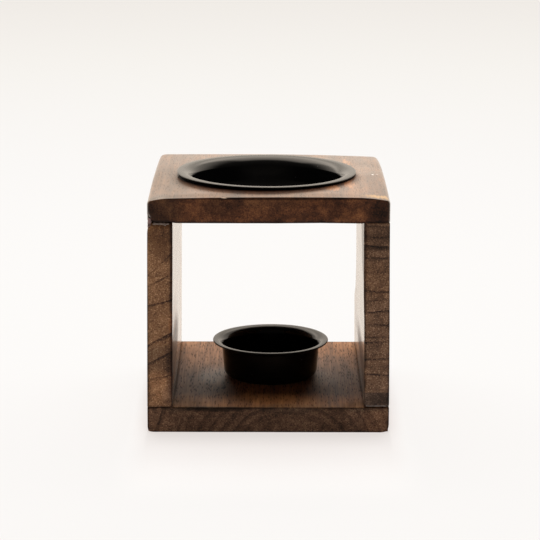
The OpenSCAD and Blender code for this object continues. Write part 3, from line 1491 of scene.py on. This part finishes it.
ZINC = Cloudy(
    "zinc_plate",
    (0.42, 0.41, 0.38),
    (0.28, 0.27, 0.23),
    Layer((900, 900, 900), detail=4),
    rough=0.28,
    metallic=1.0,
)
DOWEL_WOOD = Cloudy(
    "bare_dowel_wood",
    screen_colour(158, 118, 76),
    screen_colour(206, 171, 124),
    Layer((1600, 1600, 60)),
    rough=0.45,
    relief=0.05 * MM,
)
PALE_GLUE = dried_glue("dried_glue", screen_colour(112, 97, 88), screen_colour(66, 52, 44))
DARK_GLUE = dried_glue("stained_glue", screen_colour(118, 100, 88), screen_colour(72, 54, 44))
ROSY_GLUE = dried_glue("rosy_glue", screen_colour(138, 108, 102), screen_colour(88, 62, 56))

LEFT_WOOD = Wood(
    name="left_side_wood",
    heart=(11 * MM, -56 * MM),
    ring=5.5 * MM,
    ends=stain((60, 38, 25), (130, 91, 61), (174, 133, 96)),
    faces=stain((66, 42, 26), (118, 82, 52), (168, 124, 84)),
    seed=2.3,
    ring_depth=0.12,
    speck=0.45,
    lacquer_rough=0.19,
    lines=grain(
        (71.5, 44, 0.35, 0.35),
        (65.1, 29, 0.4, 0.5),
        (55.5, 14, 0.45, 0.6),
        (45.4, 29, 0.3, 0.25),
        (40.3, 29, 0.7, 0.65),
        (36.9, 30, 0.3, -0.25),
        (32.2, 31, 0.6, 0.5),
        (24.0, 13, 0.4, 0.4),
    ),
    patches=(
        tinted((-44, -51.5, 84), (9, 12, 10), (0.52, 0.46, 0.4)),
        tinted((-44, -51.5, 32), (12, 30, 7), (0.62, 0.63, 0.66)),
        tinted((-45, -51.5, 20), (8, 10, 8), (1.25, 1.22, 1.2)),
        # Down the rounded inner front edge, a darker line, wider near the foot: partly stain, partly painted
        # reflection of the dark inside.
        tinted((-39.4, -51.5, 50), (1.5, 5, 60), (0.55, 0.5, 0.48)),
        tinted((-40.2, -51.5, 27), (2.4, 6, 15), (0.5, 0.48, 0.5)),
        tinted((-39.6, 0, 11.2), (2, 60, 1), JOINT_SHADE, worn=0.7, ragged=0.3),
        tinted((-39.4, -30, 30), (2, 45, 14), (0.95, 0.9, 0.85), worn=0.62, ragged=0.5, soft=0.6),
        tinted((-39.4, -34, 45), (2, 34, 10), (1.7, 1.4, 1.1), worn=0.16, ragged=0.5, soft=0.8),
        tinted((-41.5, -51.5, 16), (3, 10, 6), (0.74, 0.74, 0.8)),
    ),
)
RIGHT_WOOD = Wood(
    name="right_side_wood",
    heart=(52 * MM, -90 * MM),
    ring=4.6 * MM,
    ends=stain((46, 31, 22), (113, 82, 60), (168, 130, 101)),
    faces=stain((62, 41, 26), (112, 79, 53), (164, 122, 84)),
    seed=11.7,
    ring_depth=0.12,
    lacquer_rough=0.19,
    speck=0.4,
    lines=grain(
        (88.1, -2, 0.4, 0.4),
        (83.4, 1, 0.35, 0.35),
        (79.4, -1, 0.8, 0.55),
        (74.7, 2, 0.4, 0.4),
        (69.1, 0, 0.5, 0.2),
        (60.9, -2, 0.35, 0.5),
        (57.2, 3, 0.35, 0.3),
        (52.3, 2, 0.4, 0.55),
        (46.6, -1, 0.5, 0.25),
        (41.4, 1, 0.35, 0.3),
        (39.3, 4, 0.4, 0.5),
        (32.0, 2, 0.4, 0.4),
        (25.2, -2, 0.45, 0.5),
    ),
    patches=(
        tinted((45, -51.5, 14.4), (40, 1.6, 2.9), (0.42, 0.45, 0.52), ragged=0.15, soft=0.2),
        tinted((45, -51.5, 86), (9, 12, 9), (0.53, 0.5, 0.47)),
        tinted((45, -51.5, 66), (9, 10, 10), (0.82, 0.77, 0.7)),
        tinted((45, -51.5, 76.4), (9, 10, 4), (0.72, 0.7, 0.68)),
        tinted((39.6, 0, 11.2), (2, 60, 1), JOINT_SHADE, worn=0.7, ragged=0.3),
        tinted((39.4, -20, 25), (2, 60, 9), (0.95, 0.9, 0.85), worn=0.65, ragged=0.5, soft=0.8),
        tinted((39.4, -42, 78), (2, 24, 17), (0.9, 0.85, 0.8), worn=0.4, ragged=0.5, soft=0.5),
    ),
)
TOP_WOOD = Wood(
    name="top_wood",
    heart=(-14 * MM, 190 * MM),
    ring=6.0 * MM,
    ends=stain((34, 19, 12), (86, 48, 26), (134, 84, 48)),
    faces=stain((62, 40, 25), (97, 63, 38), (132, 88, 54)),
    seed=23.1,
    ring_depth=0.12,
    speck=0.15,
    blotch=1.8,
    mottle=0.9,
    lacquer=0.77,
    patches=(
        tinted((-48, -51.5, 94), (13, 12, 10), (0.5, 0.55, 0.6)),
        tinted((48, -51.5, 94), (9, 12, 10), (0.74, 0.74, 0.74)),
        tinted((-20, -51.5, 95), (8, 8, 4), (0.6, 0.6, 0.62)),
        tinted((-4, -48, 99), (48, 6.5, 6), (0.74, 0.79, 0.88), worn=0.28),
        tinted((20, -51.5, 97), (16, 3, 3.2), (0.7, 0.65, 0.6)),
        tinted((30, -51.5, 93), (7, 3, 4), (0.75, 0.72, 0.7)),
        tinted((40, 8, 99.5), (8, 13, 6), (1.15, 1.08, 1.02), worn=-0.16),
        tinted((0, -51.6, 99.3), (60, 1.0, 0.8), (0.36, 0.32, 0.28), worn=0.3, ragged=0.2, soft=0.6),
        tinted((-40, -15, 99.5), (14, 38, 6), (0.74, 0.83, 0.94), worn=0.17),
        tinted((30, 46, 98.5), (26, 14, 6), (0.9, 0.9, 0.9), worn=0.12),
        painted((26, -31, 99.5), (3, 7, 6), WORN_TAN, worn=0.4, ragged=1.5, soft=1.0, broken=5.0),
        painted((33.6, -24, 99.5), (2.8, 13, 6), WORN_TAN, worn=0.2, ragged=1.5, soft=1.1, broken=5.0),
        painted((33.4, 23, 99.5), (2.8, 13, 6), WORN_TAN, worn=0.2, ragged=1.5, soft=1.1, broken=5.0),
        painted((46.2, -46.8, 99.4), (7, 3.4, 1.7), WORN_EDGE, worn=0.3, ragged=0.8, soft=0.9, broken=3.4),
        # Painted glints: two tiny pale highlights to the right of the bowl.
        painted((44.2, -2, 99.5), (0.5, 0.8, 6), PAINTED_GLINT, ragged=2.0, soft=0.3),
        painted((46, -1, 99.5), (0.7, 0.6, 6), PAINTED_GLINT, ragged=2.0, soft=0.9, broken=2.0),
        # Painted shade and painted reflection of the bowl's lip: three darker rings round the bowl, shifted
        # to the front, with less lacquer.
        tinted((0.6, -8, 99.8), (34.6, 34.6, 6), (0.36, 0.31, 0.26), worn=0.68, ragged=0.05, soft=0.16),
        tinted((-1, -3, 99.8), (34, 34, 6), (0.35, 0.3, 0.26), worn=0.7, ragged=0.05, soft=0.1),
        tinted((-3.5, -9, 99.8), (35, 35, 6), (0.55, 0.51, 0.47), worn=0.5, ragged=0.2, soft=0.2),
        painted((-18.1, -51.3, 99.6), (1.4, 0.7, 0.42), CHIPPED, worn=0.3, ragged=0.6, soft=0.5),
    ),
)
BASE_WOOD = Wood(
    name="base_wood",
    heart=(9 * MM, -16 * MM),
    ring=4.2 * MM,
    ends=stain((42, 28, 20), (90, 63, 46), (140, 107, 82)),
    faces=stain((62, 39, 22), (124, 80, 46), (178, 124, 78)),
    seed=37.9,
    ring_depth=0.3,
    pore_depth=0.42,
    face_rings=0.35,
    blotch=1.0,
    grit=1.0,
    lacquer=0.72,
    lacquer_rough=0.62,
    rough=0.6,
    gloss=0.08,
    sheen=0.2,
    open_grain=0.6,
    streak=0.15,
    patches=(
        tinted((26, 40, 10.8), (12, 17, 4), (1.3, 1.27, 1.15)),
        # Painted light on both sides of the cup, which thins the cup's shadow on the base.
        tinted((-23, -2, 10.8), (7, 16, 4), (1.25, 1.25, 1.25), worn=-0.35),
        tinted((25, -10, 10.8), (6, 12, 4), (1.2, 1.2, 1.2), worn=-0.15),
        tinted((-36, -47, 10.8), (11, 11, 3), (0.72, 0.77, 0.8), worn=0.2),
        tinted((38, -51, 10.8), (9, 10, 3), (0.6, 0.63, 0.66), worn=0.35),
        tinted((9, -51, 10.8), (16, 6, 3), (0.76, 0.8, 0.84)),
        tinted((30, -30, 10.8), (12, 20, 4), (1.15, 0.98, 0.84)),
        tinted((-46, -51.5, 6), (9, 12, 9), (1.42, 1.42, 1.4)),
        # Painted shade along the rounded upper front edge, left of the middle.
        tinted((-21, -51.5, 10.2), (16, 3, 1.3), (0.3, 0.3, 0.3)),
        tinted((36, -51.5, 5.5), (5, 10, 6), (1.35, 1.38, 1.42)),
        tinted((46, -51.5, 5), (8, 12, 7), (1.6, 1.56, 1.52)),
        tinted((-39.8, 0, 10.8), (1, 60, 2), JOINT_SHADE, worn=0.5, ragged=0.3),
        tinted((39.8, 0, 10.8), (1, 60, 2), JOINT_SHADE, worn=0.5, ragged=0.3),
        tinted((-45.3, -51.5, 10.3), (0.9, 2, 0.5), (2.4, 2.4, 2.4), ragged=0.6),
        tinted((-40.1, -51.5, 10.6), (0.7, 2, 0.5), (2.2, 2.2, 2.2), ragged=0.6),
    ),
)

BASE_DENTS = (
    dented((-50.2, -51.5, 0), (-50.2, 51.5, 0), 2.0, 0.5),
    dented((50.2, -51.5, 0), (50.2, 51.5, 0), 3.4, 0.45),
    dented((50.2, -51.5, 0), (50.2, 51.5, 0), 1.8, 0.4),
)
LEFT_DENTS = (
    dented((-50, -51.5, 89.3), (-50, -51.3, 88), 2.6, 1.1),
    dented((-48, -51.5, 89.2), (-41, -51.5, 89.2), 2.2, 1.1),
    dented((-50, -51.5, 56), (-50, -51.5, 30), 45, 0.1, ragged=0.0, way=LEFT),
)
RIGHT_DENTS = (
    dented((39.4, 51.5, 80), (39.6, 51.5, 42), 9, 0.8, ragged=0.1),
    dented((39.5, 51.5, 50), (39.6, 51.5, 45), 9, 0.9, ragged=0.1),
    dented((39.8, 51.5, 32), (39.8, 51.5, 10), 24, 0.5, ragged=0.1, way=LEFT),
    dented((39.4, 51.5, 27.3), (39.4, 51.5, 26.6), 1.3, 0.6),
    dented((39.7, 51.5, 12), (39.7, 51.5, 11), 1.6, 0.6),
    dented((40, -51.5, 10.9), (50, -51.5, 10.9), 1.5, 0.6),
    dented((39.6, -51.5, 85), (39.6, -51.5, 60), 16, 0.3, ragged=0.0, way=LEFT),
    dented((50, -51.5, 44), (50, -51.5, 24), 30, 0.1, ragged=0.0, way=RIGHT),
)
TOP_DENTS = (
    dented((-49.6, -51.5, 89.3), (-49.6, -51.3, 90.3), 3.0, 1.3),
    dented((-17.8, -51.5, 99.4), (-16.8, -51.5, 99.4), 1.0, 0.4),
)

LEAN_OUT, LEAN_IN = 0.15 * MM, 0.5 * MM
BOARDS = (
    SquareBoard("left_side_board", LEFT_WOOD, "side_wood", lean=(-LEAN_OUT, LEAN_IN), dents=LEFT_DENTS),
    SquareBoard("right_side_board", RIGHT_WOOD, "side_wood", lean=(LEAN_OUT, -LEAN_IN), dents=RIGHT_DENTS),
    BaseBoard("base_board", BASE_WOOD, "base_wood", dents=BASE_DENTS),
    TopBoard("top_board", TOP_WOOD, "top_wood", dents=TOP_DENTS),
)
PANS = (
    PressedPan(
        "oil_bowl",
        "bowl",
        BlackSteel(),
        wall_radius=32.5 * MM,
        draft=6,
        shoulder=3 * MM,
        foot=7 * MM,
        flare=5.1 * MM,
        corner=3.4 * MM,
        slope=53,
        fall=0.4 * MM,
        lean=0.25 * MM,
    ),
    PressedPan(
        "tealight_cup",
        "cup",
        BlackSteel("dull_black_steel", shine=0.3, gleam=0.14),
        wall_radius=21.2 * MM,
        draft=4.5,
        shoulder=2.4 * MM,
        foot=3 * MM,
        flare=3.6 * MM,
        corner=3.6 * MM,
        slope=60,
    ),
)
BEADS = (
    GlueBead("top_left_glue", DARK_GLUE, mm(-47.4, -51.0, 88.6), mm(-40.4, -51.0, 88.6), 0.5 * MM),
    GlueBead("top_left_drip", DARK_GLUE, mm(-42.6, -51.0, 88.4), mm(-41.8, -51.0, 87.8), 0.4 * MM, seed=2.0),
    GlueBead(
        "top_left_corner_glue",
        ROSY_GLUE,
        mm(-48.5, -50.4, 91),
        mm(-48.6, -50.45, 87),
        0.75 * MM,
        lump=0.2,
        seed=6.0,
    ),
    GlueBead("base_right_glue", PALE_GLUE, mm(40.3, -50.95, 11.6), mm(50, -50.95, 11.7), 0.55 * MM, seed=4.0),
)


def main() -> None:
    """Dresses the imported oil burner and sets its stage."""
    logging.basicConfig(level=logging.INFO, format="%(name)s: %(message)s")
    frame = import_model()
    for piece in (*BOARDS, *PANS, *BEADS):
        piece.mount()
    finishes = {"screws": ZINC.material(), "dowels": DOWEL_WOOD.material()}
    for name, node in frame["nodes"].items():
        kind = name.split("_")[-1]
        if kind in finishes:
            node.data.materials.clear()
            node.data.materials.append(finishes[kind])
            LOG.info("%s: %s", name, finishes[kind].name)
    Stage().set()


if __name__ == "__main__":
    main()
